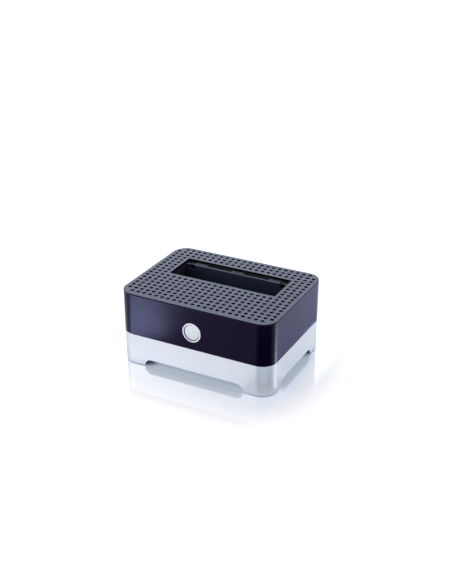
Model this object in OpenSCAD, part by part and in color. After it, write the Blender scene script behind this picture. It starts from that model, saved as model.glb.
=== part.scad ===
// Hard drive docking station: a desk-top box that takes one bare 3.5-inch or 2.5-inch unit, stood on end.
// A silver base and a black upper housing meet at a flush seam under a black cover with a grid of recesses.
// Below the slot in the cover a liner guides the unit down onto the receptacle of the main board.
// Millimetres. Origin on the desk under the middle of the box, +Y to the back, +Z up.

/* [Body] */
// Width, left to right
body_w = 146; // [142:1:170]
// Depth, front to back, without the button bezel and the switch flange
body_d = 109; // [106:1:130]
// Height above the desk
body_h = 68; // [65:0.5:80]
// Radius of the upright corners
corner_r = 13.5; // [12:0.5:16]
// Height of the seam between the silver base and the black housing
base_h = 29; // [28.5:0.5:33]
// Moulded wall thickness
wall_t = 2.5; // [2:0.1:3]
// Small chamfer on the base's upper edge, which draws the seam line
seam_bevel = 0.4; // [0.2:0.1:0.8]
// Height of the tongue that locates the upper housing on the base
tongue_h = 3; // [2:0.5:5]
// Thickness of that tongue
tongue_t = 1.2; // [1:0.1:1.6]
// Slip clearance between mouldings that plug into each other
fit_gap = 0.15; // [0.1:0.05:0.3]

/* [Feet and arches] */
// Height of the arched cut-outs between the feet
arch_h = 7.2; // [6:0.1:9]
// Width of the front and back arches at the desk
arch_front_w = 96; // [70:1:98]
// Width of the side arches at the desk
arch_side_w = 62; // [40:1:63]
// Rounding of the arch shoulders
arch_r = 6.5; // [3:0.5:7]
// Thickness of the ribs that close each foot on its two inner sides
foot_rib_t = 1.9; // [1.5:0.1:2.4]
// Thickness of the base's floor
floor_t = 2; // [1.6:0.1:3]
// Radius of the columns that carry the rubber pads
column_r = 6.8; // [6.5:0.1:7.5]
// Radius of a rubber pad
pad_r = 5.5; // [4.5:0.1:5.8]
// Thickness of a rubber pad
pad_t = 2; // [1.5:0.1:3]
// How far the pads hold the base off the desk
pad_rise = 0.8; // [0.5:0.1:1.2]

/* [Top cover] */
// Thickness of the plate
cover_t = 2; // [1.8:0.1:3]
// Edge of the plate that shows above the housing's wall
cover_edge_t = 1; // [0.8:0.1:1.4]
// Rounding of the top edge
edge_r = 0.4; // [0.2:0.1:0.7]
// Diameter of a round recess
dimple_d = 3.5; // [2.5:0.1:4]
// Depth of a recess
dimple_h = 1.1; // [0.5:0.1:1.2]
// Spacing of the recesses, left to right
pitch_x = 5.9; // [5:0.1:8]
// Spacing of the recesses, front to back
pitch_y = 5.7; // [5:0.1:8]
// Shift of their grid towards the back
grid_shift = 1; // [0:0.1:1.5]
// Least distance from a recess to the outside of the box
grid_edge = 2.9; // [2.9:0.1:4]
// Least distance from a recess to the slot
grid_slot = 2.3; // [1.5:0.1:2.5]
// Depth of the ribs and the collar under the plate
rib_h = 4; // [2:0.5:6]
// Thickness of those ribs
rib_t = 0.9; // [0.7:0.1:1.2]

/* [Bay] */
// Length of the slot
slot_w = 103.5; // [102.5:0.5:106]
// Width of the slot, front to back
slot_d = 35.5; // [33:0.5:36]
// Distance from the slot to the back of the box
slot_back = 21.35; // [20:0.05:24]
// Depth of the bay below the top face
bay_depth = 41.5; // [38:0.5:44]
// Wall of the bay liner
liner_t = 1.5; // [1.2:0.1:1.8]
// Floor of the bay liner
liner_floor_t = 1.8; // [1.4:0.1:2.5]
// Radius of the four posts under the liner
post_r = 3.5; // [3:0.1:4.5]
// Distance of the posts from the ends of the slot
post_end = 8; // [6:0.5:14]
// Distance of the posts from the long sides of the slot
post_side = 6; // [5:0.5:8]

/* [Dust flap] */
// Thickness of the flap
flap_t = 2; // [1.6:0.1:2.4]
// Gap between the shut flap and the slot
flap_gap = 0.6; // [0.4:0.1:1]
// How far the shut flap lies below the top face
flap_sink = 0.7; // [0.5:0.1:1.2]
// Hinge axis in front of the bay's back wall
hinge_back = 2.8; // [2.7:0.1:3.5]
// Hinge axis below the underside of the top cover
hinge_drop = 2.1; // [1.9:0.1:3]
// Radius of the hinge pin
pin_r = 1; // [0.8:0.05:1.2]
// Running clearance of the flap on its pin
pin_run = 0.05; // [0.02:0.01:0.1]
// Radius of a hinge knuckle
knuckle_r = 2.3; // [2:0.1:2.5]
// Length of an outer knuckle
knuckle_l = 12; // [6:1:14]
// Length of the middle knuckle
mid_knuckle_l = 12; // [6:1:24]
// Depth of the stiffening ribs on the flap
flap_rib = 1.2; // [0.6:0.1:1.4]
// Angle at which the flap is drawn, 0 shut and 90 hanging open in the bay
flap_open = 90; // [0:5:90]
// Wire of the two return springs
wire_d = 0.4; // [0.3:0.05:0.45]
// Turns of a return spring
spring_turns = 4; // [3:1:5]
// Advance of a spring per turn
spring_pitch = 0.9; // [0.9:0.05:1.1]

/* [Button] */
// Height of the button above the seam
button_up = 16.2; // [13:0.1:24]
// Radius of the bezel's flange
bezel_r = 8.85; // [8.5:0.05:9.5]
// How far the bezel stands proud of the front
bezel_proud = 0.8; // [0.5:0.1:1.2]
// Radius of the bezel's opening
bezel_in_r = 7.5; // [7.2:0.05:7.6]
// Wall of the bezel's barrel
barrel_t = 0.5; // [0.4:0.05:0.7]
// Width of the light ring
light_w = 0.3; // [0.3:0.05:0.7]
// Clearance round the button cap
cap_gap = 0.3; // [0.3:0.05:0.5]
// Rise of the cap's domed face
cap_dome = 0.5; // [0.2:0.1:0.8]
// How far the crown of the cap lies behind the bezel's face
cap_sink = 0.2; // [0:0.05:0.4]
// Travel of the button
button_travel = 0.6; // [0.3:0.1:0.8]

/* [Boards] */
// Thickness of the circuit boards
board_t = 1.6; // [1.2:0.1:2]
// Height of the standoffs under the main board
standoff_h = 4.5; // [4:0.5:5]
// Main board set back from the outside of the front
board_front = 10.5; // [8:0.5:14]
// Half-width of the main board
board_half = 48; // [46:1:52]
// Width of the front board
front_board_w = 34; // [32:1:44]
// Distance from the outside of the front to the front board
front_board_in = 12.9; // [12.5:0.1:15]
// Receptacle to the right of the slot's middle
sata_x = 18; // [0:1:22]
// Receptacle behind the slot's front edge
sata_in = 23; // [20:0.5:25]
// Rise of the receptacle above the bay's floor
sata_rise = 4; // [3:0.5:5]

/* [Back] */
// Middle of the mains-adapter inlet
jack_x = -14; // [-15:0.5:-11]
// Middle of the data port
usb_x = 8; // [5:0.5:12]
// Middle of the direct drive port
esata_x = 32; // [28:0.5:38]
// Middle of the on-off switch
rocker_x = -42; // [-45:0.5:-36]
// Height of the switch above the base's floor
rocker_up = 9; // [8:0.5:11]
// Tilt of the switch's rocker either side of level
rocker_tilt = 10; // [6:1:10]

/* [Hidden] */
$fn = 64;
cut = 1;
sink = 0.5;

black = [0.07, 0.07, 0.09];
silver = [0.78, 0.80, 0.83];
steel = [0.62, 0.63, 0.65];
gold = [0.83, 0.68, 0.32];
green = [0.10, 0.32, 0.18];

// levels
floor_lift = 0.3;
floor_z = arch_h + floor_lift;
shoulder_r = min(arch_r, arch_h - fit_gap);
foot_rib_back = 0.2;
foot_rib_up = 0.2;
floor_top = floor_z + floor_t;
board_z = floor_top + standoff_h;
board_top = board_z + board_t;
cover_z = body_h - cover_t;
wall_top = body_h - cover_edge_t;
bay_z = body_h - bay_depth;
button_z = base_h + button_up;

// plan
half_w = body_w / 2;
half_d = body_d / 2;
post_x = half_w - corner_r;
post_y = half_d - corner_r;
front_in = -half_d + wall_t;
back_in = half_d - wall_t;
slot_y1 = half_d - slot_back;
slot_y0 = slot_y1 - slot_d;
slot_y = (slot_y0 + slot_y1) / 2;

// grid of recesses, in whole columns and rows, left out over the slot and in the corners
plate_in = wall_t + fit_gap;
collar_out = liner_t + fit_gap + rib_t;
dimple_r = dimple_d / 2;
edge_in = max(grid_edge, plate_in + fit_gap) + dimple_r;
slot_out = grid_slot + dimple_r;
corner_reach = corner_r - edge_in;
grid_cols = 2 * floor((half_w - edge_in - pitch_x / 2) / pitch_x) + 2;
grid_rows = 2 * floor((half_d - edge_in - grid_shift - pitch_y / 2) / pitch_y) + 2;
function grid_x(i) = (i - (grid_cols - 1) / 2) * pitch_x;
function grid_y(j) = (j - (grid_rows - 1) / 2) * pitch_y + grid_shift;
function off_slot(x, y) = abs(x) > slot_w / 2 + slot_out || abs(y - slot_y) > slot_d / 2 + slot_out;
function in_corner(x, y) = norm([max(0, abs(x) - post_x), max(0, abs(y) - post_y)]) < corner_reach;

// screws
m3_r = 1.5;
m3_head_r = 2.8;
m3_head_h = 2;
m3_clear = 0.2;
m3_pilot = 0.05;
drive_w = 0.8;
drive_l = 3.2;
boss_r = 4;
boss_up = 14;
seat_up = 1.5;
housing_seat = floor_top + seat_up;
housing_grip = 12;
board_grip = 7;
board_head_h = 1.8;
tip_gap = 1;
web_t = 2;
web_top = base_h - tongue_h - tongue_t - fit_gap - cut;
small_r = 1;
small_head_r = 2;
small_head_h = 1.5;
small_boss_r = 2.75;
small_boss_x = 12.5;
small_grip = 5;

// hinge
hinge_y = slot_y1 - hinge_back;
hinge_z = cover_z - hinge_drop;
flap_up = body_h - flap_sink - hinge_z;
flap_low = flap_up - flap_t;
flap_w = slot_w - 2 * flap_gap;
flap_tip = 0.2;
flap_front = hinge_y - slot_y0 - flap_gap - flap_tip;
flap_rear = hinge_back - flap_gap - sink;
press_gap = 0.02;

// torsion springs: up the back of the hanging flap, round the pin, and down the wall of the bay
spring_room = 1;
spring_in = 9;
spring_steps = 8;
wire_sides = 6;
coil_play = 0.35;
leg_l = 7;
leg_gap = 0.1;
spring_l = spring_turns * spring_pitch + wire_d + spring_room;
spring_x = slot_w / 2 - spring_in + spring_l / 2;
coil_r = pin_r + wire_d / 2 + coil_play;
flap_leg_y = -flap_low + wire_d / 2 + leg_gap;
wall_leg_y = hinge_back - wire_d / 2 - leg_gap;
leg_top = -knuckle_r - sink;
spring_n = spring_steps * spring_turns + spring_steps / 2;
spring_run = spring_n / spring_steps * spring_pitch;
spring_path = concat(
    [[0, flap_leg_y, -leg_l], [0, flap_leg_y, leg_top]],
    [for (i = [0 : spring_n])
        let (a = 180 - 360 * i / spring_steps)
        [(i / spring_steps) * spring_pitch, coil_r * cos(a), coil_r * sin(a)]],
    [[spring_run, wall_leg_y, leg_top], [spring_run, wall_leg_y, -leg_l]]);
spring_last = len(spring_path) - 1;
spring_gap = min([for (i = [0 : spring_last])
    for (j = [0 : spring_last])
        if (abs(i - j) > spring_steps / 2)
            norm(spring_path[i] - spring_path[j])]) - wire_d;
echo("Least gap of a spring to itself, measured on the points of its path", spring_gap);

// button, along Y from the outside of the front
face_y = -half_d;
barrel_r = bezel_in_r + barrel_t;
barrel_past = 1.5;
barrel_end = front_in + barrel_past;
bead_h = 0.4;
bead_r = barrel_r + bead_h;
light_r = bezel_in_r - press_gap;
cap_r = light_r - light_w - cap_gap;
cap_face = face_y - bezel_proud + cap_sink;
cap_flange_t = 1.2;
cap_flange_in = 0.2;
cap_flange_r = bezel_in_r - cap_flange_in;
cap_stop = 0.1;
board_y = face_y + front_board_in;
switch_w = 6;
switch_h = 3;
plunger_r = 1.7;
plunger_run = 0.1;
plunger_out = 1;
plunger_in = 1;
stem_r = 2;
stem_end = board_y - switch_h - plunger_out;
lamp_w = 3.2;
lamp_h = 1.6;
lamp_t = 1.2;
front_board_low = 0.8;
header_pins = 6;
header_pitch = 2.54;
header_t = 2.5;

// parts on the main board
chip_w = 12;
chip_h = 1.4;
chip_x = -18;
chip_in = 21.5;
chip_y = face_y + board_front + chip_in;
can_r = 3.15;
can_h = 8;
can_count = 3;
can_x = 22;
can_in = 23.5;
can_y = face_y + board_front + can_in;
can_pitch = 9;

// sockets
sata_l = 44;
sata_d = 6.4;
sata_y = slot_y0 + sata_in;
sata_top = bay_z + sata_rise;
sata_slot_d = 2.6;
sata_slot_h = 6;
window_gap = 0.4;
power_l = 21;
data_l = 11;
key_web = 2.4;
power_x = sata_x - (key_web + data_l) / 2;
data_x = sata_x + (power_l + key_web) / 2;
contact_pitch = 1.27;
contact_w = 0.7;
contact_t = 0.3;
contact_h = 5;
power_pins = 15;
data_pins = 7;
port_gap = 0.3;
port_flush = 0.2;
usb_w = 12;
usb_h = 10.9;
usb_l = 16;
usb_in_w = 8.45;
usb_in_h = 7.8;
usb_in_l = 9;
usb_key = 1.6;
usb_tongue_w = 5.6;
usb_tongue_h = 3.2;
usb_contact_w = 1;
usb_contact_pitch = 2.5;
esata_w = 14.4;
esata_h = 6.2;
esata_l = 13;
esata_in_w = 12.2;
esata_in_h = 4.4;
esata_in_l = 8;
esata_tongue_w = 10;
esata_tongue_h = 1.3;
jack_w = 9;
jack_h = 10.8;
jack_l = 14;
jack_bore_r = 3.2;
jack_bore_l = 9.5;
jack_pin_r = 1;
port_y = half_d - port_flush;
tongue_back = 1;
strip_back = 2;
tail_back = 4;
tail_side = 3;
tail_end = 6;
board_tail = port_y - tail_back;
tail_x0 = jack_x - jack_w / 2 - tail_side;
tail_x1 = min(board_half, esata_x + esata_w / 2 + tail_end);
board_step = slot_y1 + tail_back;

// on-off switch, along Y from the outside of the back
rocker_l = 5.7;
rocker_h = 3.2;
rocker_face = 3.6;
rocker_dip = 0.7;
rocker_in = 4;
rocker_room = 0.9;
rocker_side = 0.3;
frame_t = 0.8;
frame_depth = 10.5;
frame_floor = 3;
flange_w = 1;
stub_r = 1;
stub_run = 0.05;
stub_l = 0.6;
blade_w = 2.8;
blade_t = 0.6;
blade_l = 4;
blade_gap = 6;
rocker_z = floor_top + rocker_up;
rocker_y = half_d - rocker_in;
frame_in_l = rocker_l + rocker_room;
frame_in_h = rocker_h + rocker_side;

// outlines and shared forms

module rounded_rect(w, d, r) {
    square([w, d - 2 * r], center = true);
    square([w - 2 * r, d], center = true);
    for (sx = [-1, 1])
        for (sy = [-1, 1])
            translate([sx * (w / 2 - r), sy * (d / 2 - r)])
                circle(r);
}

// carries a wall section round the outline of the box, with X outwards from the corner centres
module round_the_box() {
    for (a = [0 : 3]) {
        long = a % 2 == 0 ? body_d - 2 * corner_r : body_w - 2 * corner_r;
        reach = a % 2 == 0 ? post_x : post_y;
        side = a % 2 == 0 ? post_y : post_x;
        rotate([0, 0, 90 * a]) {
            translate([reach, long / 2, 0])
                rotate([90, 0, 0])
                    linear_extrude(long)
                        children();
            translate([reach, side, 0])
                rotate_extrude(angle = 90)
                    children();
        }
    }
}

module at_corners() {
    for (sx = [-1, 1])
        for (sy = [-1, 1])
            translate([sx * post_x, sy * post_y, 0])
                children();
}

module at_posts() {
    for (sx = [-1, 1])
        for (y = [slot_y0 + post_side, slot_y1 - post_side])
            translate([sx * (slot_w / 2 - post_end), y, 0])
                children();
}

// upright screw, head below its seat at z = 0 and the shank above it
module screw(r, head_r, head_h, grip) {
    difference() {
        union() {
            translate([0, 0, -head_h])
                cylinder(r = head_r, h = head_h);
            cylinder(r = r, h = grip);
        }
        for (a = [0, 90])
            rotate([0, 0, a])
                translate([-drive_l / 2, -drive_w / 2, -head_h - cut])
                    cube([drive_l, drive_w, head_h / 2 + cut]);
    }
}

module block(x, y0, y1, w, z0, z1) {
    translate([x - w / 2, y0, z0])
        cube([w, y1 - y0, z1 - z0]);
}

module cylinder_from(r, z0, z1) {
    translate([0, 0, z0])
        cylinder(r = r, h = z1 - z0);
}

// base

module base_section() {
    inner = corner_r - wall_t;
    lip = inner - fit_gap;
    polygon([[inner, pad_rise], [corner_r, pad_rise], [corner_r, base_h - seam_bevel],
        [corner_r - seam_bevel, base_h], [lip, base_h], [lip, base_h + tongue_h],
        [lip - tongue_t, base_h + tongue_h], [lip - tongue_t, base_h - tongue_h],
        [inner, base_h - tongue_h - tongue_t - fit_gap]]);
}

module arch_outline(w) {
    translate([-w / 2, -cut])
        square([w, arch_h - shoulder_r + cut]);
    translate([-w / 2 + shoulder_r, -cut])
        square([w - 2 * shoulder_r, arch_h + cut]);
    for (s = [-1, 1])
        translate([s * (w / 2 - shoulder_r), arch_h - shoulder_r])
            circle(shoulder_r);
}

// Ribs that stand just behind the ends of the arches and make a closed block of each foot
module foot_ribs() {
    rib_x = arch_front_w / 2 + foot_rib_back;
    rib_y = arch_side_w / 2 + foot_rib_back;
    low = pad_rise + foot_rib_up;
    for (mx = [0, 1])
        for (my = [0, 1])
            mirror([mx, 0, 0])
                mirror([0, my, 0])
                    translate([rib_x, rib_y, low])
                        linear_extrude(floor_z + sink - low)
                            difference() {
                                square([half_w - wall_t / 2 - rib_x, half_d - wall_t / 2 - rib_y]);
                                translate([foot_rib_t, foot_rib_t])
                                    square([half_w, half_d]);
                            }
}

module port_windows() {
    reach = wall_t + tongue_t + fit_gap + cut;
    y0 = half_d - reach;
    y1 = half_d + cut;
    g = port_gap;
    block(jack_x, y0, y1, jack_w + 2 * g, board_top - g, board_top + jack_h + g);
    block(usb_x, y0, y1, usb_w + 2 * g, board_top - g, board_top + usb_h + g);
    block(esata_x, y0, y1, esata_w + 2 * g, board_top - g, board_top + esata_h + g);
    block(rocker_x, y0, y1, 2 * (frame_in_l + frame_t + fit_gap),
        rocker_z - frame_in_h - frame_t - fit_gap, rocker_z + frame_in_h + frame_t + fit_gap);
}

module base_housing() {
    color(silver)
    difference() {
        union() {
            round_the_box()
                base_section();
            translate([0, 0, floor_z])
                linear_extrude(floor_t)
                    rounded_rect(body_w - 2 * wall_t + 2 * sink, body_d - 2 * wall_t + 2 * sink,
                        corner_r - wall_t + sink);
            at_corners() {
                translate([0, 0, pad_rise])
                    cylinder(r = column_r, h = floor_top - pad_rise);
                cylinder_from(boss_r, floor_z, base_h);
            }
            foot_ribs();
            for (sx = [-1, 1])
                for (sy = [-1, 1])
                    translate([sx * post_x, sy * post_y, floor_z])
                        rotate([0, 0, atan2(sy, sx)])
                            translate([0, -web_t / 2, 0])
                                cube([corner_r - wall_t / 2, web_t, web_top - floor_z]);
            at_posts()
                cylinder_from(boss_r, floor_z, board_z);
        }
        rotate([90, 0, 0])
            linear_extrude(body_d + 2 * cut, center = true)
                arch_outline(arch_front_w);
        rotate([90, 0, 90])
            linear_extrude(body_w + 2 * cut, center = true)
                arch_outline(arch_side_w);
        at_corners() {
            cylinder_from(pad_r + fit_gap, pad_rise - cut, pad_t);
            cylinder_from(m3_head_r + m3_clear, pad_rise - cut, housing_seat);
            cylinder_from(m3_r + m3_clear, housing_seat - cut, base_h + cut);
        }
        at_posts() {
            cylinder_from(m3_head_r + m3_clear, floor_z - cut, floor_top);
            cylinder_from(m3_r + m3_clear, floor_top - cut, board_z + cut);
        }
        port_windows();
    }
}

module rubber_feet() {
    color([0.05, 0.05, 0.05])
    at_corners()
        cylinder(r = pad_r, h = pad_t);
}

// upper housing

module upper_housing() {
    color(black)
    difference() {
        union() {
            translate([0, 0, base_h])
                linear_extrude(wall_top - base_h)
                    difference() {
                        rounded_rect(body_w, body_d, corner_r);
                        rounded_rect(body_w - 2 * wall_t, body_d - 2 * wall_t, corner_r - wall_t);
                    }
            at_corners()
                cylinder_from(boss_r, base_h, base_h + boss_up);
            for (sx = [-1, 1])
                for (sy = [-1, 1])
                    translate([sx * post_x, sy * post_y, base_h + tongue_h + sink])
                        rotate([0, 0, atan2(sy, sx)])
                            translate([0, -web_t / 2, 0])
                                cube([corner_r - wall_t / 2, web_t, boss_up - tongue_h - sink - cut]);
            for (s = [-1, 1])
                translate([s * small_boss_x, front_in - sink, button_z])
                    rotate([-90, 0, 0])
                        cylinder(r = small_boss_r, h = board_y - front_in + sink);
        }
        at_corners()
            cylinder_from(m3_r + m3_pilot, base_h - cut, base_h + housing_grip);
        translate([0, face_y - cut, button_z])
            rotate([-90, 0, 0])
                cylinder(r = barrel_r + fit_gap, h = wall_t + 2 * cut);
        for (s = [-1, 1])
            translate([s * small_boss_x, board_y - small_grip, button_z])
                rotate([-90, 0, 0])
                    cylinder(r = small_r + m3_pilot, h = small_grip + cut);
    }
}

// top cover

module cover_edge() {
    in = corner_r - plate_in - sink;
    translate([in, wall_top])
        square([corner_r - in - edge_r, cover_edge_t]);
    translate([in, wall_top])
        square([corner_r - in, cover_edge_t - edge_r]);
    translate([corner_r - edge_r, body_h - edge_r])
        circle(edge_r);
}

module dimples() {
    for (i = [0 : grid_cols - 1])
        for (j = [0 : grid_rows - 1])
            if (off_slot(grid_x(i), grid_y(j)) && in_corner(grid_x(i), grid_y(j)))
                translate([grid_x(i), grid_y(j)])
                    circle(dimple_r, $fn = 32);
}

module slot_outline(grow) {
    translate([0, slot_y])
        square([slot_w + 2 * grow, slot_d + 2 * grow], center = true);
}

module top_cover() {
    rib_low = cover_z - rib_h;
    rib_out_x = half_w - plate_in;
    rib_out_y = half_d - plate_in;
    color(black) {
        difference() {
            union() {
                translate([0, 0, cover_z])
                    linear_extrude(cover_t)
                        difference() {
                            rounded_rect(body_w - 2 * plate_in, body_d - 2 * plate_in, corner_r - plate_in);
                            slot_outline(0);
                        }
                round_the_box()
                    cover_edge();
            }
            translate([0, 0, body_h - dimple_h])
                linear_extrude(dimple_h + cut)
                    dimples();
        }
        for (s = [-1, 1]) {
            translate([s * (rib_out_x - rib_t / 2), 0, rib_low + (rib_h + sink) / 2])
                cube([rib_t, 2 * post_y, rib_h + sink], center = true);
            translate([0, s * (rib_out_y - rib_t / 2), rib_low + (rib_h + sink) / 2])
                cube([2 * post_x, rib_t, rib_h + sink], center = true);
        }
        translate([0, 0, rib_low])
            linear_extrude(rib_h + sink)
                difference() {
                    slot_outline(collar_out);
                    slot_outline(collar_out - rib_t);
                }
    }
}

// bay

module bay_liner() {
    low = bay_z - liner_floor_t;
    color([0.10, 0.10, 0.11])
    difference() {
        union() {
            translate([0, 0, low])
                linear_extrude(cover_z - low)
                    slot_outline(liner_t);
            at_posts()
                cylinder_from(post_r, board_top, low + sink);
        }
        translate([0, 0, bay_z])
            linear_extrude(cover_z - bay_z + cut)
                slot_outline(0);
        translate([sata_x, sata_y, low])
            cube([sata_l + 2 * window_gap, sata_d + 2 * window_gap, 2 * liner_floor_t + cut],
                center = true);
        at_posts()
            cylinder_from(m3_r + m3_pilot, board_top - cut, board_z + board_grip);
        translate([0, hinge_y, hinge_z])
            rotate([0, 90, 0])
                cylinder(r = pin_r + press_gap, h = slot_w + 2 * liner_t + 2 * cut, center = true);
    }
}

// flap in its own frame, shut, with the hinge axis along X at the origin
module flap_shape() {
    difference() {
        union() {
            translate([-flap_w / 2, -flap_front, flap_low])
                cube([flap_w, flap_front + flap_rear, flap_t]);
            for (x = [-flap_w / 4, 0, flap_w / 4])
                translate([x - flap_t / 2, -flap_front + flap_t, flap_low - flap_rib])
                    cube([flap_t, flap_front - flap_t - knuckle_r, flap_rib + sink]);
            knuckle(0, mid_knuckle_l);
            for (s = [-1, 1])
                knuckle(s * (spring_x - spring_l / 2 - knuckle_l / 2), knuckle_l);
        }
        rotate([0, 90, 0])
            cylinder(r = pin_r + pin_run, h = slot_w, center = true);
        for (s = [-1, 1])
            translate([s * spring_x - spring_l / 2, -knuckle_r - sink, flap_low - cut])
                cube([spring_l, knuckle_r + sink + flap_rear + cut, flap_t + 2 * cut]);
    }
}

module knuckle(x, l) {
    translate([x, 0, 0])
        rotate([0, 90, 0])
            cylinder(r = knuckle_r, h = l, center = true);
    translate([x - l / 2, -pin_r, 0])
        cube([l, 2 * pin_r, flap_low + sink]);
}

module dust_flap() {
    color([0.12, 0.12, 0.13])
    translate([0, hinge_y, hinge_z])
        rotate([flap_open, 0, 0])
            flap_shape();
}

module flap_pin() {
    color(steel)
    translate([0, hinge_y, hinge_z])
        rotate([0, 90, 0])
            cylinder(r = pin_r, h = slot_w + 2 * liner_t, center = true);
}

// round wire as one closed skin of rings along a path
function unit(v) = v / norm(v);
function path_dir(p, i) = unit(p[min(i + 1, len(p) - 1)] - p[max(i - 1, 0)]);
function ring_at(p, i) =
    let (t = path_dir(p, i), u = unit(cross(t, unit([1, 0.02, 0.03]))), v = cross(t, u))
    [for (k = [0 : wire_sides - 1])
        p[i] + wire_d / 2 * (cos(360 * k / wire_sides) * u + sin(360 * k / wire_sides) * v)];

module wire(p) {
    n = len(p);
    points = [for (i = [0 : n - 1]) each ring_at(p, i)];
    sides = [for (i = [0 : n - 2])
        for (k = [0 : wire_sides - 1])
            let (a = i * wire_sides + k, b = i * wire_sides + (k + 1) % wire_sides)
            each [[a, b, b + wire_sides], [a, b + wire_sides, a + wire_sides]]];
    first = [for (k = [1 : wire_sides - 2]) [0, k + 1, k]];
    last0 = (n - 1) * wire_sides;
    last = [for (k = [1 : wire_sides - 2]) [last0, last0 + k, last0 + k + 1]];
    polyhedron(points, concat(first, sides, last));
}

module flap_springs() {
    color(steel)
    for (s = [-1, 1])
        translate([s * spring_x - spring_run / 2, hinge_y, hinge_z])
            wire(spring_path);
}

// button

module on_button_axis() {
    translate([0, 0, button_z])
        rotate([-90, 0, 0])
            children();
}

module ring_section(r0, r1, y0, y1) {
    translate([r0, y0])
        square([r1 - r0, y1 - y0]);
}

module button_bezel() {
    color(silver)
    on_button_axis()
        rotate_extrude() {
            ring_section(bezel_in_r, bezel_r - bezel_proud / 2, face_y - bezel_proud, face_y);
            ring_section(bezel_in_r, bezel_r, face_y - bezel_proud / 2, face_y);
            translate([bezel_r - bezel_proud / 2, face_y - bezel_proud / 2])
                circle(bezel_proud / 2);
            ring_section(bezel_in_r, barrel_r, face_y, barrel_end);
            polygon([[barrel_r - sink / 2, front_in + fit_gap], [bead_r, front_in + fit_gap],
                [barrel_r - sink / 2, barrel_end]]);
        }
}

module button_light_ring() {
    color([0.55, 0.62, 0.75, 0.6])
    on_button_axis()
        rotate_extrude()
            ring_section(light_r - light_w, light_r, face_y, barrel_end);
}

module button_cap() {
    dome_r = (cap_r * cap_r + cap_dome * cap_dome) / (2 * cap_dome);
    color(silver)
    on_button_axis() {
        intersection() {
            cylinder_from(cap_r, cap_face, barrel_end + cap_stop + cap_flange_t);
            translate([0, 0, cap_face + dome_r])
                sphere(r = dome_r, $fn = 96);
        }
        cylinder_from(cap_flange_r, barrel_end + cap_stop, barrel_end + cap_stop + cap_flange_t);
        cylinder_from(stem_r, barrel_end + cap_stop, stem_end);
    }
}

module switch_plunger() {
    color(black)
    on_button_axis()
        cylinder_from(plunger_r, stem_end, board_y - switch_h + plunger_in);
}

module button_switch() {
    color(steel)
    difference() {
        block(0, board_y - switch_h, board_y, switch_w, button_z - switch_w / 2, button_z + switch_w / 2);
        on_button_axis()
            cylinder_from(plunger_r + plunger_run, board_y - switch_h - cut,
                board_y - switch_h + plunger_in + button_travel + plunger_run);
    }
}

module status_lights() {
    color([0.9, 0.9, 0.85])
    for (s = [-1, 1])
        block(s * light_r, board_y - lamp_t, board_y, lamp_w, button_z - lamp_h / 2, button_z + lamp_h / 2);
}

module front_board() {
    color(green)
    difference() {
        block(0, board_y, board_y + board_t, front_board_w, board_top + front_board_low,
            button_z + front_board_w / 4);
        for (s = [-1, 1])
            translate([s * small_boss_x, board_y - cut, button_z])
                rotate([-90, 0, 0])
                    cylinder(r = small_r + m3_clear, h = board_t + 2 * cut);
    }
}

module front_board_screws() {
    color(steel)
    for (s = [-1, 1])
        translate([s * small_boss_x, board_y + board_t, button_z])
            rotate([90, 0, 0])
                screw(small_r, small_head_r, small_head_h, board_t + small_grip - tip_gap);
}

module board_header() {
    y0 = board_y + board_t;
    color([0.08, 0.08, 0.08])
        block(0, y0, y0 + header_t, header_pins * header_pitch, board_top, board_top + header_t);
}

// main board and what it carries

module main_board() {
    color(green)
    difference() {
        translate([0, 0, board_z])
            linear_extrude(board_t)
                union() {
                    translate([-board_half, face_y + board_front])
                        square([2 * board_half, board_step - face_y - board_front]);
                    translate([tail_x0, board_step - cut])
                        square([tail_x1 - tail_x0, board_tail - board_step + cut]);
                }
        at_posts()
            cylinder_from(m3_r + m3_clear, board_z - cut, board_top + cut);
    }
}

module sata_slots(z0, z1) {
    y0 = sata_y - sata_slot_d / 2;
    y1 = sata_y + sata_slot_d / 2;
    block(power_x, y0, y1, power_l, z0, z1);
    block(data_x, y0, y1, data_l, z0, z1);
}

module sata_receptacle() {
    color([0.06, 0.06, 0.06])
    difference() {
        block(sata_x, sata_y - sata_d / 2, sata_y + sata_d / 2, sata_l, board_top, sata_top);
        sata_slots(sata_top - sata_slot_h, sata_top + cut);
    }
}

// place of contact i in a row of n about the row's middle
function in_row(i, n) = (i - (n - 1) / 2) * contact_pitch;

module sata_contacts() {
    z0 = sata_top - sata_slot_h;
    z1 = z0 + contact_h;
    y1 = sata_y + sata_slot_d / 2;
    y0 = y1 - contact_t;
    color(gold) {
        for (i = [0 : power_pins - 1])
            block(power_x + in_row(i, power_pins), y0, y1, contact_w, z0, z1);
        for (i = [0 : data_pins - 1])
            block(data_x + in_row(i, data_pins), y0, y1, contact_w, z0, z1);
    }
}

module bridge_chip() {
    color([0.05, 0.05, 0.06])
        block(chip_x, chip_y, chip_y + chip_w, chip_w, board_top, board_top + chip_h);
}

module capacitors() {
    color([0.2, 0.22, 0.3])
    for (i = [0 : can_count - 1])
        translate([can_x + i * can_pitch, can_y, 0])
            cylinder_from(can_r, board_top, board_top + can_h);
}

// sockets at the back

module usb_port() {
    color(steel)
    difference() {
        block(usb_x, port_y - usb_l, port_y, usb_w, board_top, board_top + usb_h);
        translate([usb_x, port_y + cut, board_top + usb_h / 2])
            rotate([90, 0, 0])
                linear_extrude(usb_in_l + cut)
                    polygon([[-usb_in_w / 2, -usb_in_h / 2], [usb_in_w / 2, -usb_in_h / 2],
                        [usb_in_w / 2, usb_in_h / 2 - usb_key], [usb_in_w / 2 - usb_key, usb_in_h / 2],
                        [-usb_in_w / 2 + usb_key, usb_in_h / 2], [-usb_in_w / 2, usb_in_h / 2 - usb_key]]);
    }
}

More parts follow.
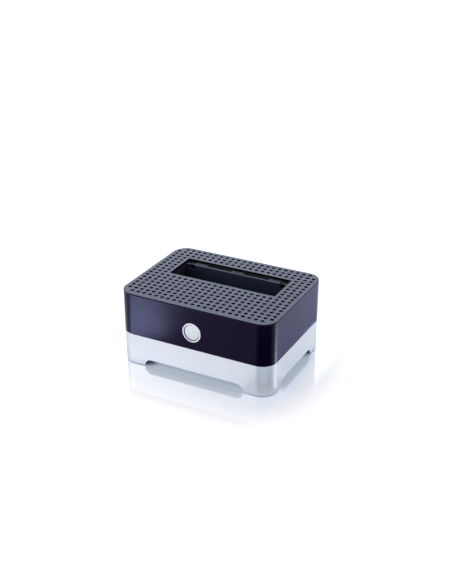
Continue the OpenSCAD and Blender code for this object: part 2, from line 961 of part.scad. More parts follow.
module usb_tongue() {
    mid = board_top + usb_h / 2;
    color([0.92, 0.92, 0.90])
        block(usb_x, port_y - usb_in_l, port_y - tongue_back, usb_tongue_w, mid - usb_tongue_h / 2,
            mid + usb_tongue_h / 2);
}

module usb_contacts() {
    mid = board_top + usb_h / 2;
    face = usb_tongue_h / 2;
    color(gold)
    for (sx = [-1, 1])
        for (z = [mid - face - contact_t, mid + face])
            block(usb_x + sx * usb_contact_pitch / 2, port_y - usb_in_l, port_y - strip_back, usb_contact_w,
                z, z + contact_t);
}

module esata_port() {
    mid = board_top + esata_h / 2;
    color(steel)
    difference() {
        block(esata_x, port_y - esata_l, port_y, esata_w, board_top, board_top + esata_h);
        block(esata_x, port_y - esata_in_l, port_y + cut, esata_in_w, mid - esata_in_h / 2,
            mid + esata_in_h / 2);
    }
}

module esata_tongue() {
    mid = board_top + esata_h / 2;
    color([0.06, 0.06, 0.06])
        block(esata_x, port_y - esata_in_l, port_y - tongue_back, esata_tongue_w, mid - esata_tongue_h / 2,
            mid + esata_tongue_h / 2);
}

module esata_contacts() {
    z = board_top + esata_h / 2 + esata_tongue_h / 2;
    color(gold)
    for (i = [0 : data_pins - 1])
        block(esata_x + in_row(i, data_pins), port_y - esata_in_l, port_y - strip_back, contact_w, z,
            z + contact_t);
}

module power_inlet() {
    color([0.06, 0.06, 0.06])
    difference() {
        block(jack_x, port_y - jack_l, port_y, jack_w, board_top, board_top + jack_h);
        translate([jack_x, port_y - jack_bore_l, board_top + jack_h / 2])
            rotate([-90, 0, 0])
                cylinder(r = jack_bore_r, h = jack_bore_l + cut);
    }
}

module power_inlet_pin() {
    color(steel)
    translate([jack_x, port_y - jack_bore_l, board_top + jack_h / 2])
        rotate([-90, 0, 0])
            cylinder(r = jack_pin_r, h = jack_bore_l - tongue_back);
}

// on-off switch

module at_rocker() {
    translate([rocker_x, rocker_y, rocker_z])
        children();
}

module rocker_frame() {
    out = rocker_in;
    low = out - frame_depth;
    color([0.06, 0.06, 0.06])
    at_rocker()
    difference() {
        union() {
            block(0, low, out, 2 * (frame_in_l + frame_t), -frame_in_h - frame_t, frame_in_h + frame_t);
            block(0, out, out + bezel_proud, 2 * (frame_in_l + frame_t + flange_w),
                -frame_in_h - frame_t - flange_w, frame_in_h + frame_t + flange_w);
        }
        block(0, low + frame_floor, out + bezel_proud + cut, 2 * frame_in_l, -frame_in_h, frame_in_h);
        cylinder(r = stub_r + stub_run, h = 2 * (frame_in_h + frame_t) + 2 * cut, center = true);
    }
}

module rocker_paddle() {
    color([0.09, 0.09, 0.09])
    at_rocker()
        rotate([0, 0, rocker_tilt]) {
            linear_extrude(2 * rocker_h, center = true)
                polygon([[-rocker_l, rocker_face], [0, rocker_face - rocker_dip], [rocker_l, rocker_face],
                    [rocker_l, rocker_face / 2], [rocker_l / 2, -stub_r - sink],
                    [-rocker_l / 2, -stub_r - sink], [-rocker_l, rocker_face / 2]]);
            cylinder(r = stub_r, h = 2 * (rocker_h + rocker_side + stub_l), center = true);
        }
}

module rocker_terminals() {
    low = rocker_in - frame_depth;
    color(steel)
    at_rocker()
        for (s = [-1, 1])
            block(s * blade_gap / 2, low - blade_l, low, blade_t, -blade_w / 2, blade_w / 2);
}

// fasteners

module board_screws() {
    color(steel)
    at_posts()
        translate([0, 0, floor_top])
            screw(m3_r, m3_head_r, board_head_h, board_z + board_grip - floor_top - tip_gap);
}

module housing_screws() {
    color(steel)
    at_corners()
        translate([0, 0, housing_seat])
            screw(m3_r, m3_head_r, m3_head_h, base_h + housing_grip - housing_seat - tip_gap);
}

base_housing();
rubber_feet();
upper_housing();
top_cover();
bay_liner();
dust_flap();
flap_pin();
flap_springs();
button_bezel();
button_light_ring();
button_cap();
switch_plunger();
button_switch();
status_lights();
front_board();
front_board_screws();
board_header();
main_board();
sata_receptacle();
sata_contacts();
bridge_chip();
capacitors();
usb_port();
usb_tongue();
usb_contacts();
esata_port();
esata_tongue();
esata_contacts();
power_inlet();
power_inlet_pin();
rocker_frame();
rocker_paddle();
rocker_terminals();
board_screws();
housing_screws();
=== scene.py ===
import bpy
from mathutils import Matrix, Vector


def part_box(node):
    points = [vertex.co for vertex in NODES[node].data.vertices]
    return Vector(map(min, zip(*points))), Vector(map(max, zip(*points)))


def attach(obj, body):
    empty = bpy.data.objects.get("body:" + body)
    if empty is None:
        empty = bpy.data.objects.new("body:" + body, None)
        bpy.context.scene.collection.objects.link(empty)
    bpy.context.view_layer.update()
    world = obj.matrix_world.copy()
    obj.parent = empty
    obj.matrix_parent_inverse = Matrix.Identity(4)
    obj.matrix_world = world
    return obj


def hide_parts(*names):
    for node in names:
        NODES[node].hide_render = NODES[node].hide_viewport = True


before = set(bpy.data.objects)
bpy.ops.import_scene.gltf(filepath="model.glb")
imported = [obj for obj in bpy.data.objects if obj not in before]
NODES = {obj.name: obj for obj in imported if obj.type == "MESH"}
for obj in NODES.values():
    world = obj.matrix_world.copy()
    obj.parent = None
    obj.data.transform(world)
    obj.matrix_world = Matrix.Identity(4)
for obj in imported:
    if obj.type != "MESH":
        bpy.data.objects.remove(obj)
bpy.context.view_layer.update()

import math

import bpy
from mathutils import Matrix, Vector

MM = 0.001
HALF_W = 73 * MM
HALF_D = 54.5 * MM
CORNER = 13.5 * MM


# Materials

class Nodes:
    """Adds nodes to one tree. Every value is a constant or another node's output."""

    def __init__(self, tree):
        self.tree = tree

    def add(self, kind, inputs=None, **settings):
        made = self.tree.nodes.new(kind)
        for name, value in settings.items():
            setattr(made, name, value)
        for name, value in (inputs or {}).items():
            self.feed(made.inputs[name], value)
        return made

    def feed(self, socket, value):
        if isinstance(value, bpy.types.NodeSocket):
            self.tree.links.new(value, socket)
        else:
            socket.default_value = value

    def math(self, operation, a, b=0.0):
        return self.add("ShaderNodeMath", {0: a, 1: b}, operation=operation).outputs[0]

    def vector(self, operation, a, b=(0, 0, 0), output="Vector"):
        return self.add("ShaderNodeVectorMath", {0: a, 1: b}, operation=operation).outputs[output]

    def spread(self, value, low, high, start=0.3, end=0.7, step="LINEAR"):
        """Takes a pattern that runs from start to end over to low to high."""
        made = self.add("ShaderNodeMapRange", {"Value": value, "From Min": start, "From Max": end,
                                               "To Min": low, "To Max": high}, interpolation_type=step)
        return made.outputs["Result"]

    def mix(self, factor, first, second):
        return self.add("ShaderNodeMix", {0: factor, 6: first, 7: second}, data_type="RGBA").outputs[2]

    def past_core(self, place):
        """How far a place lies, along each axis, outside the rectangle that joins the corners' middles."""
        core = (HALF_W - CORNER, HALF_D - CORNER, 1)  # higher than the box, so height never counts
        return self.vector("MAXIMUM", self.vector("SUBTRACT", self.vector("ABSOLUTE", place), core))

    def seen_directly(self):
        """1 for camera, glossy and transmission rays, and 0 for the light that falls on the part."""
        path = self.add("ShaderNodeLightPath").outputs
        seen = self.math("MAXIMUM", path["Is Camera Ray"], path["Is Glossy Ray"])
        return self.math("MAXIMUM", seen, path["Is Transmission Ray"])


class Finish(Nodes):
    """One procedural material: a Principled shader fed by textures in the part's own coordinates."""

    def __init__(self, name, **constants):
        self.material = bpy.data.materials.new(name)
        self.material.use_nodes = True
        super().__init__(self.material.node_tree)
        self.shader = self.tree.nodes["Principled BSDF"]
        for socket, value in constants.items():
            self.shader.inputs[socket.replace("_", " ")].default_value = value
        self.place = self.add("ShaderNodeTexCoord").outputs["Object"]

    def noise(self, size, detail=2.0, stretch=(1, 1, 1)):
        """Cloudy pattern whose features are about size metres across, drawn out along the axes in stretch."""
        place = self.add("ShaderNodeMapping", {"Vector": self.place, "Scale": [1 / s for s in stretch]})
        made = self.add("ShaderNodeTexNoise",
                        {"Vector": place.outputs["Vector"], "Scale": 1 / size, "Detail": detail})
        return made.outputs["Fac"]

    def cells(self, size, output="Distance", feature="F1"):
        made = self.add("ShaderNodeTexVoronoi", {"Vector": self.place, "Scale": 1 / size}, feature=feature)
        return made.outputs[output]

    def edges(self, radius, gain=6.0):
        """Near 1 along the solid's sharp edges and 0 on its faces."""
        soft = self.add("ShaderNodeBevel", {"Radius": radius}, samples=4)
        hard = self.add("ShaderNodeNewGeometry")
        facing = self.vector("DOT_PRODUCT", soft.outputs["Normal"], hard.outputs["Normal"], "Value")
        away = self.math("SUBTRACT", 1.0, facing)
        return self.add("ShaderNodeClamp", {"Value": self.math("MULTIPLY", away, gain)}).outputs["Result"]

    def colour(self, value):
        self.feed(self.shader.inputs["Base Color"], value)

    def roughness(self, value):
        self.feed(self.shader.inputs["Roughness"], value)

    def relief(self, height, depth, strength=1.0, edge=0.00015):
        """Surface texture depth metres deep, over edges rounded by edge metres."""
        soft = self.add("ShaderNodeBevel", {"Radius": edge}, samples=4)
        bump = self.add("ShaderNodeBump", {"Height": height, "Strength": strength, "Distance": depth,
                                           "Normal": soft.outputs["Normal"]})
        self.feed(self.shader.inputs["Normal"], bump.outputs["Normal"])


def rgb(red, green, blue):
    return (red, green, blue, 1.0)


def polished_black(name):
    """Violet-black polished moulding with faint flow marks, and edges paler partly as rub and partly as a
    painted edge highlight.
    """
    f = Finish(name, Specular_IOR_Level=0.11, Specular_Tint=rgb(0.84, 0.60, 1.0))
    clouds = f.noise(45 * MM, 3)
    body = f.mix(f.spread(clouds, 0, 1), rgb(0.0014, 0.0003, 0.0105), rgb(0.0020, 0.0006, 0.0135))
    # Paler edges: partly rub, partly a painted highlight along the edges.
    f.colour(f.mix(f.math("MULTIPLY", f.edges(0.5 * MM), 0.6), body, rgb(0.10, 0.10, 0.14)))
    f.roughness(f.spread(f.noise(14 * MM, 4), 0.24, 0.29))
    f.relief(f.noise(1.6 * MM, 2), 0.001 * MM, 0.3)
    return f.material


def grained_black(name, dark, light, rough=(0.48, 0.58), tint=rgb(1, 1, 1), grain=0.45 * MM):
    """Spark-textured moulding: a fine pebbled grain, with edges paler partly as rub and partly as a painted
    edge highlight.
    """
    f = Finish(name, Specular_IOR_Level=0.5, Specular_Tint=tint)
    clouds = f.noise(30 * MM, 3)
    body = f.mix(f.spread(clouds, 0, 1), dark, light)
    # Paler edges: partly rub, partly a painted highlight along the edges.
    rub_and_edge_highlight = tuple(2.2 * c for c in light[:3]) + (1.0,)
    f.colour(f.mix(f.math("MULTIPLY", f.edges(0.4 * MM), 0.5), body, rub_and_edge_highlight))
    pebbles = f.cells(grain, feature="SMOOTH_F1")
    f.roughness(f.spread(f.noise(2 * MM, 3), *rough))
    f.relief(f.math("ADD", pebbles, f.noise(grain / 2, 1)), 0.02 * MM, 0.6)
    return f.material


def dimpled_black(name):
    """The cover: fine grain on its top face and the floors of the recesses, and smooth walls with painted
    shade, near black and metallic so they mirror almost nothing.
    """
    f = Finish(name, Specular_IOR_Level=0.5, Specular_Tint=rgb(0.70, 0.80, 1.0))
    clouds = f.noise(30 * MM, 3)
    body = f.mix(f.spread(clouds, 0, 1), rgb(0.019, 0.022, 0.047), rgb(0.025, 0.028, 0.058))
    face = f.add("ShaderNodeSeparateXYZ", {"Vector": f.add("ShaderNodeNewGeometry").outputs["True Normal"]})
    top = f.spread(face.outputs["Z"], 0, 1, 0.5, 0.9)
    # Painted shade: the recess walls are near black, and metallic so they reflect almost nothing.
    f.colour(f.mix(top, rgb(0.0030, 0.0028, 0.0060), body))
    f.feed(f.shader.inputs["Metallic"], f.math("SUBTRACT", 1.0, top))
    pebbles = f.cells(0.45 * MM, feature="SMOOTH_F1")
    f.roughness(f.add("ShaderNodeMix", {0: top, 2: 0.3, 3: f.spread(f.noise(2 * MM, 3), 0.48, 0.56)},
                      data_type="FLOAT").outputs[0])
    grain = f.math("MULTIPLY", f.math("ADD", pebbles, f.noise(0.22 * MM, 1)), top)
    f.relief(grain, 0.02 * MM, 0.5, 0.06 * MM)
    return f.material


def painted_silver(name):
    """Silver paint with fine flakes and paler edges, partly rub and partly painted edge highlight, on the
    outside, and painted shade, near black and not metallic, inside and underneath.
    """
    f = Finish(name, Specular_IOR_Level=0.5)
    flake = f.add("ShaderNodeSeparateColor", {"Color": f.cells(0.12 * MM, "Color")}).outputs["Red"]
    clouds = f.noise(35 * MM, 3)
    paint = f.mix(f.spread(flake, 0, 1, 0, 1), rgb(0.570, 0.594, 0.642), rgb(0.630, 0.655, 0.704))
    paint = f.mix(f.spread(clouds, 0.0, 0.35), paint, rgb(0.565, 0.589, 0.634))
    # Paler edges: partly rub, partly a painted highlight along the edges such as the seam.
    paint = f.mix(f.math("MULTIPLY", f.edges(0.45 * MM), 0.7), paint, rgb(0.88, 0.90, 0.93))
    # Painted shade: near black and not metallic on faces lying about a millimetre or more inside the outer
    # wall, such as inner walls, ribs and underside.
    reach = f.vector("LENGTH", f.past_core(f.place), output="Value")
    outside = f.spread(reach, 0, 1, CORNER - 1.0 * MM, CORNER - 0.6 * MM)
    painted_inner_shade = f.mix(f.spread(f.noise(6 * MM, 3), 0, 1), rgb(0.020, 0.021, 0.026), rgb(0.032, 0.034, 0.040))
    f.colour(f.mix(outside, painted_inner_shade, paint))
    f.feed(f.shader.inputs["Metallic"], f.math("MULTIPLY", outside, 0.82))
    f.roughness(f.spread(f.noise(3 * MM, 4), 0.34, 0.42))
    f.relief(flake, 0.0012 * MM, 0.35)
    return f.material


def turned_silver(name, centre_z, rough, dark, light, groove=0.22 * MM):
    """Spun metal: fine rings round the button's axis."""
    f = Finish(name, Metallic=0.9)
    place = f.add("ShaderNodeMapping", {"Vector": f.place, "Location": (0, 0, -centre_z), "Scale": (1, 0, 1)})
    radius = f.vector("LENGTH", place.outputs["Vector"], output="Value")
    line = f.add("ShaderNodeTexNoise", {"W": f.math("DIVIDE", radius, groove), "Detail": 3.0},
                 noise_dimensions="1D").outputs["Fac"]
    f.colour(f.mix(f.spread(line, 0, 1), dark, light))
    f.roughness(f.spread(line, rough - 0.05, rough + 0.08))
    f.relief(line, 0.004 * MM, 0.5)
    return f.material


def drawn_steel(name, tint=(0.60, 0.61, 0.63), rough=(0.24, 0.38), along=(18, 1, 1)):
    """Plated steel with drawing lines along one axis and a few darker patches."""
    f = Finish(name, Metallic=1.0)
    lines = f.noise(0.25 * MM, 3, along)
    patches = f.noise(4 * MM, 3)
    bright = rgb(*tint)
    dull = rgb(*(0.72 * c for c in tint))
    f.colour(f.mix(f.spread(patches, 0, 1), bright, f.mix(f.spread(lines, 0, 1), bright, dull)))
    f.roughness(f.spread(lines, *rough))
    f.relief(lines, 0.003 * MM, 0.5, 0.08 * MM)
    return f.material


def rubber(name):
    f = Finish(name, Specular_IOR_Level=0.3)
    f.colour(f.mix(f.spread(f.noise(3 * MM, 4), 0, 1), rgb(0.012, 0.012, 0.013), rgb(0.026, 0.026, 0.027)))
    f.roughness(f.spread(f.noise(1 * MM, 3), 0.7, 0.85))
    f.relief(f.noise(0.35 * MM, 3), 0.03 * MM, 0.7)
    return f.material


def smoked_plastic(name):
    """Smoked light guide, dark while its lamps are off."""
    f = Finish(name, Specular_IOR_Level=0.5)
    f.colour(f.mix(f.spread(f.noise(2 * MM, 3), 0, 1), rgb(0.035, 0.040, 0.058), rgb(0.060, 0.066, 0.090)))
    f.roughness(f.spread(f.noise(0.8 * MM, 2), 0.22, 0.34))
    f.relief(f.noise(0.3 * MM, 2), 0.004 * MM, 0.5)
    return f.material


def lamp_epoxy(name):
    f = Finish(name, Specular_IOR_Level=0.5, Subsurface_Weight=0.2, Subsurface_Scale=0.4 * MM)
    f.colour(f.mix(f.spread(f.noise(1 * MM, 3), 0, 1), rgb(0.74, 0.76, 0.70), rgb(0.84, 0.85, 0.80)))
    f.roughness(f.spread(f.noise(0.5 * MM, 2), 0.25, 0.4))
    f.relief(f.noise(0.25 * MM, 2), 0.004 * MM, 0.4)
    return f.material


def solder_mask(name):
    """Board lacquer over copper tracks, with the tracks showing paler and a little raised."""
    f = Finish(name, Specular_IOR_Level=0.5)
    tracks = f.add("ShaderNodeTexBrick", {"Vector": f.place, "Scale": 1.0, "Brick Width": 9 * MM,
                                          "Row Height": 1.5 * MM, "Mortar Size": 0.22 * MM,
                                          "Mortar Smooth": 0.2}).outputs["Fac"]
    vias = f.spread(f.cells(3.1 * MM), 1, 0, 0.10, 0.14)
    copper = f.math("MAXIMUM", tracks, vias)
    lacquer = f.mix(f.spread(f.noise(20 * MM, 2), 0, 1), rgb(0.012, 0.065, 0.030), rgb(0.018, 0.090, 0.042))
    f.colour(f.mix(copper, lacquer, rgb(0.040, 0.165, 0.075)))
    f.roughness(f.spread(f.noise(1.5 * MM, 2), 0.25, 0.36))
    f.relief(copper, 0.02 * MM, 0.6)
    return f.material


def plated_gold(name):
    f = Finish(name, Metallic=1.0)
    f.colour(f.mix(f.spread(f.noise(0.8 * MM, 3), 0, 1), rgb(0.78, 0.56, 0.22), rgb(0.90, 0.70, 0.34)))
    f.roughness(f.spread(f.noise(0.3 * MM, 3), 0.18, 0.32))
    f.relief(f.noise(0.15 * MM, 2), 0.002 * MM, 0.5, 0.05 * MM)
    return f.material


def chip_epoxy(name):
    f = Finish(name, Specular_IOR_Level=0.4)
    f.colour(f.mix(f.spread(f.noise(0.6 * MM, 4), 0, 1), rgb(0.012, 0.012, 0.013), rgb(0.030, 0.030, 0.032)))
    f.roughness(f.spread(f.noise(0.5 * MM, 3), 0.5, 0.65))
    f.relief(f.noise(0.12 * MM, 2), 0.01 * MM, 0.6)
    return f.material


def shrink_sleeve(name):
    """Printed sleeve of a capacitor with its paler stripe."""
    f = Finish(name, Specular_IOR_Level=0.5)
    wave = f.add("ShaderNodeTexWave", {"Vector": f.place, "Scale": 1 / (18 * MM), "Distortion": 0.0},
                 wave_profile="SAW", bands_direction="Y").outputs["Fac"]
    stripe = f.spread(wave, 0, 1, 0.80, 0.84)
    sleeve = f.mix(f.spread(f.noise(2 * MM, 3), 0, 1), rgb(0.018, 0.022, 0.055), rgb(0.030, 0.036, 0.080))
    f.colour(f.mix(stripe, sleeve, rgb(0.42, 0.44, 0.50)))
    f.roughness(f.spread(f.noise(0.9 * MM, 2), 0.28, 0.4))
    f.relief(f.noise(0.8 * MM, 2), 0.01 * MM, 0.4)
    return f.material


def ivory_plastic(name):
    f = Finish(name, Specular_IOR_Level=0.5)
    f.colour(f.mix(f.spread(f.noise(3 * MM, 3), 0, 1), rgb(0.66, 0.65, 0.60), rgb(0.78, 0.77, 0.73)))
    f.roughness(f.spread(f.noise(0.7 * MM, 3), 0.38, 0.5))
    f.relief(f.noise(0.3 * MM, 2), 0.006 * MM, 0.5)
    return f.material


def dress():
    """Gives every carried-over CAD node its material."""
    low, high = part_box("button_cap")
    button_z = (low.z + high.z) / 2
    steel = drawn_steel("plated_steel")
    socket = grained_black("socket_plastic", rgb(0.012, 0.012, 0.013), rgb(0.022, 0.022, 0.024))
    board = solder_mask("solder_mask")
    gold = plated_gold("plated_gold")
    screws = drawn_steel("zinc_screw", (0.55, 0.56, 0.58), (0.28, 0.44), (1, 1, 12))
    finishes = {
        "base_housing": painted_silver("silver_paint"),
        "rubber_feet": rubber("foot_rubber"),
        "upper_housing": polished_black("polished_black"),
        "top_cover": dimpled_black("cover_texture"),
        "bay_liner": grained_black("liner_texture", rgb(0.008, 0.008, 0.010), rgb(0.014, 0.014, 0.017)),
        "dust_flap": grained_black("flap_texture", rgb(0.013, 0.015, 0.032), rgb(0.020, 0.023, 0.046),
                                   tint=rgb(0.70, 0.80, 1.0)),
        "flap_pin": drawn_steel("blued_pin", (0.10, 0.10, 0.12), (0.30, 0.42)),
        "button_bezel": turned_silver("bezel_metal", button_z, 0.18,
                                      rgb(0.63, 0.65, 0.71), rgb(0.75, 0.77, 0.83)),
        "button_light_ring": smoked_plastic("light_guide"),
        "button_cap": turned_silver("cap_metal", button_z, 0.32,
                                    rgb(0.57, 0.60, 0.65), rgb(0.69, 0.72, 0.77)),
        "switch_plunger": socket,
        "button_switch": steel,
        "status_lights": lamp_epoxy("lamp_epoxy"),
        "front_board": board,
        "front_board_screws": screws,
        "board_header": socket,
        "main_board": board,
        "sata_receptacle": socket,
        "sata_contacts": gold,
        "bridge_chip": chip_epoxy("chip_epoxy"),
        "capacitors": shrink_sleeve("capacitor_sleeve"),
        "usb_port": drawn_steel("port_shell", (0.66, 0.67, 0.69)),
        "usb_tongue": ivory_plastic("tongue_plastic"),
        "usb_contacts": gold,
        "esata_port": drawn_steel("drive_port_shell", (0.64, 0.65, 0.67)),
        "esata_tongue": socket,
        "esata_contacts": gold,
        "power_inlet": socket,
        "power_inlet_pin": steel,
        "rocker_frame": grained_black("switch_frame", rgb(0.012, 0.012, 0.014), rgb(0.020, 0.020, 0.023)),
        "rocker_paddle": grained_black("switch_rocker", rgb(0.016, 0.016, 0.018), rgb(0.028, 0.028, 0.031),
                                       (0.30, 0.42)),
        "rocker_terminals": gold,
        "board_screws": screws,
        "housing_screws": screws,
    }
    for name, finish in finishes.items():
        mesh = NODES[name].data
        mesh.materials.clear()
        mesh.materials.append(finish)


# Springs: round wire in place of the six-sided wire of the solids

def tube(name, path, radius, sides=12):
    """Closed round wire along a path of points."""
    points = [Vector(p) for p in path]
    count = len(points)
    rings = []
    across = None
    for i, point in enumerate(points):
        run = (points[min(i + 1, count - 1)] - points[max(i - 1, 0)]).normalized()
        if across is None:
            across = run.orthogonal().normalized()
        across = (across - run * across.dot(run)).normalized()
        other = run.cross(across)
        rings.append([point + radius * (math.cos(2 * math.pi * k / sides) * across
                                        + math.sin(2 * math.pi * k / sides) * other) for k in range(sides)])
    vertices = [v for ring in rings for v in ring]
    faces = []
    for i in range(count - 1):
        for k in range(sides):
            n = (k + 1) % sides
            faces.append((i * sides + k, i * sides + n, (i + 1) * sides + n, (i + 1) * sides + k))
    faces.append(tuple(reversed(range(sides))))
    faces.append(tuple(range((count - 1) * sides, count * sides)))
    mesh = bpy.data.meshes.new(name)
    mesh.from_pydata(vertices, [], faces)
    mesh.update()
    for polygon in mesh.polygons:
        polygon.use_smooth = len(polygon.vertices) == 4
    made = bpy.data.objects.new(name, mesh)
    bpy.context.scene.collection.objects.link(made)
    return made


def spring_path(axis, middle, wire, coil, pitch, turns, leg, flap_side, wall_side):
    """Up the back of the hanging flap, round the pin, and down the wall of the bay."""
    steps = 24
    total = steps * turns + steps // 2
    run = total / steps * pitch
    start = middle - run / 2
    path = [(start, flap_side, -leg), (start, flap_side, -coil - 1.3 * wire)]
    for i in range(total + 1):
        a = math.pi - 2 * math.pi * i / steps
        path.append((start + i / steps * pitch, coil * math.cos(a), coil * math.sin(a)))
    path += [(start + run, wall_side, -coil - 1.3 * wire), (start + run, wall_side, -leg)]
    return [Vector(p) + Vector(axis) for p in path]


def springs():
    low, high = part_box("flap_springs")
    pin_low, pin_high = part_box("flap_pin")
    axis = (0, (pin_low.y + pin_high.y) / 2, (pin_low.z + pin_high.z) / 2)
    wire = 0.4 * MM
    coil = 1.55 * MM
    pitch = 0.9 * MM
    turns = 4
    leg = axis[2] - low.z
    flap_side = -1.1 * MM
    wall_side = high.y - wire / 2 - axis[1]
    run = (turns + 0.5) * pitch
    steel = drawn_steel("spring_wire", (0.12, 0.12, 0.14), (0.28, 0.40))
    for name, middle in (("return_spring_left", low.x + run / 2 + wire / 2),
                         ("return_spring_right", high.x - run / 2 - wire / 2)):
        path = spring_path(axis, middle, wire, coil, pitch, turns, leg, flap_side, wall_side)
        piece = tube(name, path, wire / 2)
        piece.data.materials.append(steel)
        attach(piece, "housing")
    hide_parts("flap_springs")


# Stage, light and camera

FLOOR_HALF = 6.0
SHADE_END = CORNER + 62 * MM        # where the shade and the mirror image round the box fade out
CONTACT_END = CORNER + 18 * MM      # where the bluer shade close to the box fades out
FEET_X = (43 * MM, 54 * MM)         # where the dark shade of the feet starts, and where it is full
FEET_Y = (26 * MM, 37 * MM)
SHADE_SHIFT = (-6 * MM, 6 * MM, 0)  # moves the painted shade of the feet to the front and the right, where the lamp behind would cast it
MIRROR_SHARE = 0.36
MIRROR_STRETCH = (1.8, 1, 1)        # the mirror image fades sooner beside the box than before it
DARK_REFLECTION_TIP = (HALF_W - CORNER + 6 * MM, CORNER - HALF_D - 8 * MM, 0)


def corner_dark_reflection(f, place):
    """Painted dark reflection: a near-black sector of the table before the front right corner that only
    glossy rays see, so it shows only in the part's polish.
    """
    from_tip = f.vector("SUBTRACT", place, DARK_REFLECTION_TIP)
    axes = f.add("ShaderNodeSeparateXYZ", {0: from_tip}).outputs
    heading = f.math("ARCTAN2", axes["X"], f.math("MULTIPLY", axes["Y"], -1.0))
    out = f.vector("LENGTH", from_tip, output="Value")
    dark = f.add("ShaderNodeLightPath").outputs["Is Glossy Ray"]
    for value, low, high, start, end in (
            (heading, 0, 1, math.radians(-30), math.radians(-5)),
            (heading, 1, 0, math.radians(84), math.radians(116)),
            (out, 0, 1, 0, 54 * MM),
            (out, 1, 0, 140 * MM, 180 * MM)):
        dark = f.math("MULTIPLY", dark, f.spread(value, low, high, start, end, "SMOOTHSTEP"))
    return dark


def floor():
    """White table that mirrors the foot of the box and dulls away from it, with shade painted into its glow
    close to and under the box, and a painted dark reflection before the front right corner.
    """
    mesh = bpy.data.meshes.new("studio_floor")
    h = FLOOR_HALF
    mesh.from_pydata([(-h, -h, 0), (h, -h, 0), (h, h, 0), (-h, h, 0)], [], [(0, 1, 2, 3)])
    made = bpy.data.objects.new("studio_floor", mesh)
    bpy.context.scene.collection.objects.link(made)
    material = bpy.data.materials.new("studio_floor")
    material.use_nodes = True
    material.node_tree.nodes.clear()
    f = Nodes(material.node_tree)
    place = f.add("ShaderNodeTexCoord").outputs["Object"]

    past = f.past_core(place)
    away = f.vector("LENGTH", past, output="Value")
    under = f.spread(away, 0, 1, CORNER - 6 * MM, CORNER + 1 * MM)
    close = f.spread(away, 0, 1, CORNER, CONTACT_END, "SMOOTHSTEP")
    clear = f.spread(away, 0, 1, CORNER, SHADE_END, "SMOOTHSTEP")
    shaded = f.vector("ABSOLUTE", f.vector("ADD", place, SHADE_SHIFT))
    axes = f.add("ShaderNodeSeparateXYZ", {0: shaded}).outputs
    feet = f.math("MULTIPLY", f.spread(axes["X"], 0, 1, *FEET_X, "SMOOTHSTEP"),
                  f.spread(axes["Y"], 0, 1, *FEET_Y, "SMOOTHSTEP"))
    # Painted shade in the floor's glow: bluish under the box, near black by the feet, bluer close to the box,
    # and an even white further out.
    below = f.mix(feet, rgb(0.24, 0.30, 0.39), rgb(0.035, 0.040, 0.085))
    near = f.mix(close, rgb(0.280, 0.350, 0.450), rgb(0.310, 0.315, 0.345))
    around = f.mix(clear, near, rgb(0.54, 0.54, 0.545))
    reach = f.vector("LENGTH", f.vector("MULTIPLY", past, MIRROR_STRETCH), output="Value")
    gloss = f.spread(reach, MIRROR_SHARE, 0.0, CORNER, SHADE_END, "SMOOTHSTEP")
    gloss = f.math("MULTIPLY", gloss, f.math("MAXIMUM", under, feet))

    matt = f.add("ShaderNodeBsdfDiffuse", {"Color": rgb(0.81, 0.81, 0.805)})
    glow = f.add("ShaderNodeEmission", {"Color": f.mix(under, below, around), "Strength": f.seen_directly()})
    white = f.add("ShaderNodeAddShader", {0: matt.outputs[0], 1: glow.outputs[0]})
    mirror = f.add("ShaderNodeBsdfGlossy", {"Color": rgb(0.98, 0.98, 0.99), "Roughness": 0.06})
    both = f.add("ShaderNodeMixShader", {0: gloss, 1: white.outputs[0], 2: mirror.outputs[0]})
    # Near black for glossy rays in the sector before the front right corner: a painted dark reflection.
    dark_reflection = f.add("ShaderNodeBsdfDiffuse", {"Color": rgb(0.02, 0.02, 0.025)})
    table = f.add("ShaderNodeMixShader", {0: corner_dark_reflection(f, place), 1: both.outputs[0], 2: dark_reflection.outputs[0]})
    f.add("ShaderNodeOutputMaterial", {"Surface": table.outputs[0]})
    mesh.materials.append(material)


def surroundings():
    """White surroundings for the eye and the reflections, with a plain level of light from all round."""
    world = bpy.data.worlds.new("studio")
    bpy.context.scene.world = world
    world.use_nodes = True
    world.node_tree.nodes.clear()
    f = Nodes(world.node_tree)
    back = f.add("ShaderNodeBackground", {"Color": rgb(1, 1.02, 1.07),
                                          "Strength": f.spread(f.seen_directly(), 0.62, 1.0, 0, 1)})
    f.add("ShaderNodeOutputWorld", {"Surface": back.outputs[0]})


def soft_box(name, place, target, size, power, tint=(1, 1, 1)):
    """Area lamp that lights everything."""
    lamp = bpy.data.lights.new(name, "AREA")
    lamp.shape = "RECTANGLE"
    lamp.size, lamp.size_y = size
    lamp.energy = power
    lamp.color = tint
    made = bpy.data.objects.new(name, lamp)
    made.location = place
    made.rotation_euler = (Vector(target) - Vector(place)).to_track_quat("-Z", "Y").to_euler()
    bpy.context.scene.collection.objects.link(made)
    return made


def card(node, name, middle, size, heading, level, tint):
    """Bright card flat on the table that one CAD node mirrors, as bright as level times white."""
    x, y = middle
    power = level * math.pi * size[0] * size[1]
    made = soft_box(name, (x, y, 1 * MM), (x, y, 1), size, power, tint)
    made.rotation_euler = (math.pi, 0, math.radians(heading))
    made.visible_camera = False
    lit = bpy.data.collections.new(name + "_lit")
    lit.objects.link(NODES[node])
    made.light_linking.receiver_collection = lit
    return made


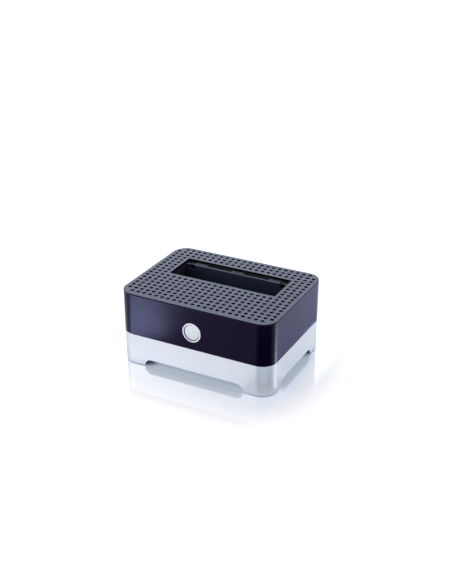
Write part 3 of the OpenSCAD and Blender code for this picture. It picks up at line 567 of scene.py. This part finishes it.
def lights():
    """Two soft boxes, and the cards that give the sides their sheen and the corner its bright line."""
    cool = (0.82, 0.89, 1.0)
    soft_box("left_box", (-0.45, -0.40, 0.25), (-0.02, -0.03, 0.04), (0.5, 0.4), 0.8)
    soft_box("back_box", (-0.42, 0.80, 0.50), (0, 0, 0.06), (0.8, 0.5), 4.3, cool)

    card("upper_housing", "front_card", (-0.109, -0.137), (0.105, 0.050), 53, 15, (0.58, 0.80, 1.0))
    card("upper_housing", "side_card", (0.1165, 0.0826), (0.080, 0.210), -28, 0.6, (0.08, 0.20, 1.0))
    card("upper_housing", "side_back_card", (0.101, 0.1325), (0.055, 0.150), -28, 2.2, (0.30, 0.48, 1.0))
    card("upper_housing", "edge_card", (0.137, 0.025), (0.110, 0.007), 47, 28, (0.70, 0.78, 1.0))

    pale = (0.92, 0.96, 1.0)
    card("base_housing", "base_front_card", (-0.0375, -0.085), (0.165, 0.050), 0, 0.32, pale)
    card("base_housing", "base_side_card", (0.088, 0.035), (0.026, 0.110), 0, 0.26, pale)
    card("base_housing", "base_corner_card", (0.1049, -0.0944), (0.145, 0.066), 38, 0.86, (0.75, 0.89, 1.0))
    line = card("base_housing", "base_edge_card", (0.1064, -0.013), (0.076, 0.014), 42, 0.7, pale)
    line.data.shape = "ELLIPSE"


def camera():
    """Stands where the photograph's camera stood."""
    azimuth, elevation, roll = (math.radians(angle) for angle in (27.966, 27.066, -0.2425))
    aim = Vector((0, 0, 43.8 * MM))
    distance = 0.86327
    away = Vector((math.sin(azimuth) * math.cos(elevation), -math.cos(azimuth) * math.cos(elevation),
                   math.sin(elevation)))
    right = Vector((math.cos(azimuth), math.sin(azimuth), 0))
    up = away.cross(right)
    side = math.cos(roll) * right + math.sin(roll) * up
    top = -math.sin(roll) * right + math.cos(roll) * up
    data = bpy.data.cameras.new("camera")
    data.sensor_width = 36
    data.lens = 60.235
    data.shift_x = 0.00656
    data.shift_y = 0.02739
    data.clip_start, data.clip_end = 0.01, 100
    made = bpy.data.objects.new("camera", data)
    bpy.context.scene.collection.objects.link(made)
    axes = Matrix((side, top, away)).transposed().to_4x4()
    made.matrix_world = Matrix.Translation(aim + away * distance) @ axes
    bpy.context.scene.camera = made


dress()
springs()
floor()
surroundings()
lights()
camera()
bpy.context.scene.view_settings.view_transform = "Standard"
